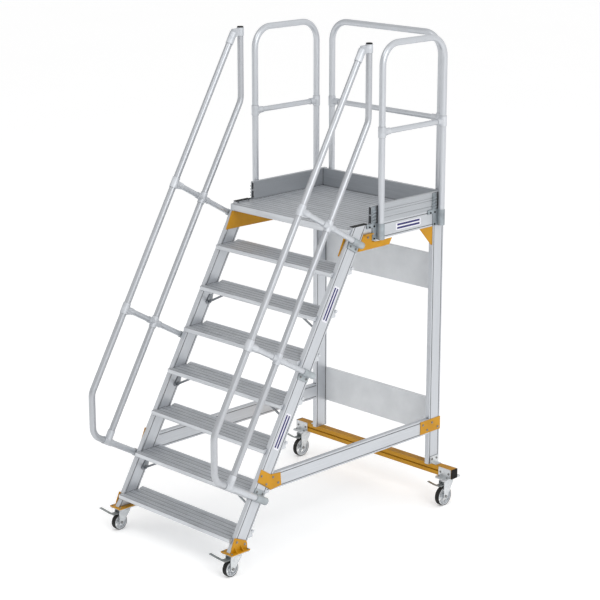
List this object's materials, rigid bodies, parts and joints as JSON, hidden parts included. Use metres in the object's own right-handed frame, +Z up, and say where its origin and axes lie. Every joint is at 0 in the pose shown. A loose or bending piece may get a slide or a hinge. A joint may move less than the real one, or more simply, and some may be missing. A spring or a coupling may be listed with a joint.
{
  "type": "mobile platform ladder",
  "caption": "Mobile warehouse ladder: ribbed aluminium steps at a steep slope, handrails on both sides, a guarded work platform, and braked swivel casters under a wide base beam.",
  "frame": {"origin": "floor point midway between the handrails, at the centre of the bounding box's base", "axes": "+Z up from the floor; +Y the direction a climber faces; +X to the climber's right"},
  "size_m": [1.4272, 2.0244, 3.0042],
  "materials": {
    "anodised_aluminium": "natural anodised, satin, fine drawing lines",
    "tread_aluminium": "ribbed mill finish, slightly worn",
    "board_aluminium": "ribbed, satin",
    "cast_aluminium": "fine tumbled casting",
    "yellow_paint": "golden yellow powder coat",
    "galvanised_steel": "zinc plated",
    "bolt_steel": "dark plated bolts",
    "black_plastic": "moulded, matt",
    "panel_grey": "light grey coated sheet",
    "hub_aluminium": "cast, machined rim",
    "black_tyre": "matt rubber"
  },
  "bodies": {
    "frame": {"base_beam": "yellow_paint", "base_clamps": "galvanised_steel", "braces": "anodised_aluminium", "caster_plates": "galvanised_steel", "deck_planks": "tread_aluminium", "end_caps": "black_plastic", "frame_bolts": "bolt_steel", "front_caster_brackets": "yellow_paint", "guard_connectors": "cast_aluminium", "guard_left": "anodised_aluminium", "guard_mid_rails": "anodised_aluminium", "guard_rear": "anodised_aluminium", "guard_right": "anodised_aluminium", "gusset_plates": "yellow_paint", "handrail_connectors": "cast_aluminium", "handrail_left": "anodised_aluminium", "handrail_right": "anodised_aluminium", "handrail_stubs": "anodised_aluminium", "knee_rail_left": "anodised_aluminium", "knee_rail_right": "anodised_aluminium", "post_holders": "cast_aluminium", "rail_clamps": "cast_aluminium", "rear_cross_rail": "anodised_aluminium", "rear_leg_left": "anodised_aluminium", "rear_leg_right": "anodised_aluminium", "rear_panels": "panel_grey", "side_rails": "anodised_aluminium", "step_1": "tread_aluminium", "step_2": "tread_aluminium", "step_3": "tread_aluminium", "step_4": "tread_aluminium", "step_5": "tread_aluminium", "step_6": "tread_aluminium", "step_7": "tread_aluminium", "stringer_left": "anodised_aluminium", "stringer_right": "anodised_aluminium", "support_angles": "galvanised_steel", "toe_board_left": "board_aluminium", "toe_board_rear": "board_aluminium", "toe_board_right": "board_aluminium"},
    "swivel_front_left": {"caster_fork_front_left": "galvanised_steel", "caster_axle_front_left": "bolt_steel"},
    "wheel_front_left": {"wheel_hub_front_left": "hub_aluminium", "tyre_front_left": "black_tyre"},
    "pedal_front_left": {"brake_pedal_front_left": "galvanised_steel"},
    "swivel_front_right": {"caster_fork_front_right": "galvanised_steel", "caster_axle_front_right": "bolt_steel"},
    "wheel_front_right": {"wheel_hub_front_right": "hub_aluminium", "tyre_front_right": "black_tyre"},
    "pedal_front_right": {"brake_pedal_front_right": "galvanised_steel"},
    "swivel_rear_left": {"caster_fork_rear_left": "galvanised_steel", "caster_axle_rear_left": "bolt_steel"},
    "wheel_rear_left": {"wheel_hub_rear_left": "hub_aluminium", "tyre_rear_left": "black_tyre"},
    "pedal_rear_left": {"brake_pedal_rear_left": "galvanised_steel"},
    "swivel_rear_right": {"caster_fork_rear_right": "galvanised_steel", "caster_axle_rear_right": "bolt_steel"},
    "wheel_rear_right": {"wheel_hub_rear_right": "hub_aluminium", "tyre_rear_right": "black_tyre"},
    "pedal_rear_right": {"brake_pedal_rear_right": "galvanised_steel"}
  },
  "joints": [
    {"name": "swivel_turn_front_left", "type": "hinge", "parent": "frame", "child": "swivel_front_left", "pos_m": [-0.505, -0.796, 0.125], "axis": [0, 0, 1], "continuous": true},
    {"name": "wheel_roll_front_left", "type": "hinge", "parent": "swivel_front_left", "child": "wheel_front_left", "pos_m": [-0.505, -0.838, 0.05], "axis": [1, 0, 0], "continuous": true},
    {"name": "brake_press_front_left", "type": "hinge", "parent": "swivel_front_left", "child": "pedal_front_left", "pos_m": [-0.505, -0.834, 0.115], "axis": [1, 0, 0], "range_deg": [0, 8]},
    {"name": "swivel_turn_front_right", "type": "hinge", "parent": "frame", "child": "swivel_front_right", "pos_m": [0.505, -0.796, 0.125], "axis": [0, 0, 1], "continuous": true},
    {"name": "wheel_roll_front_right", "type": "hinge", "parent": "swivel_front_right", "child": "wheel_front_right", "pos_m": [0.505, -0.838, 0.05], "axis": [1, 0, 0], "continuous": true},
    {"name": "brake_press_front_right", "type": "hinge", "parent": "swivel_front_right", "child": "pedal_front_right", "pos_m": [0.505, -0.834, 0.115], "axis": [1, 0, 0], "range_deg": [0, 8]},
    {"name": "swivel_turn_rear_left", "type": "hinge", "parent": "frame", "child": "swivel_rear_left", "pos_m": [-0.643, 0.928, 0.163], "axis": [0, 0, 1], "continuous": true},
    {"name": "wheel_roll_rear_left", "type": "hinge", "parent": "swivel_rear_left", "child": "wheel_rear_left", "pos_m": [-0.643, 0.886, 0.0625], "axis": [1, 0, 0], "continuous": true},
    {"name": "brake_press_rear_left", "type": "hinge", "parent": "swivel_rear_left", "child": "pedal_rear_left", "pos_m": [-0.643, 0.89, 0.145], "axis": [1, 0, 0], "range_deg": [0, 8]},
    {"name": "swivel_turn_rear_right", "type": "hinge", "parent": "frame", "child": "swivel_rear_right", "pos_m": [0.643, 0.928, 0.163], "axis": [0, 0, 1], "continuous": true},
    {"name": "wheel_roll_rear_right", "type": "hinge", "parent": "swivel_rear_right", "child": "wheel_rear_right", "pos_m": [0.643, 0.886, 0.0625], "axis": [1, 0, 0], "continuous": true},
    {"name": "brake_press_rear_right", "type": "hinge", "parent": "swivel_rear_right", "child": "pedal_rear_right", "pos_m": [0.643, 0.89, 0.145], "axis": [1, 0, 0], "range_deg": [0, 8]}
  ]
}
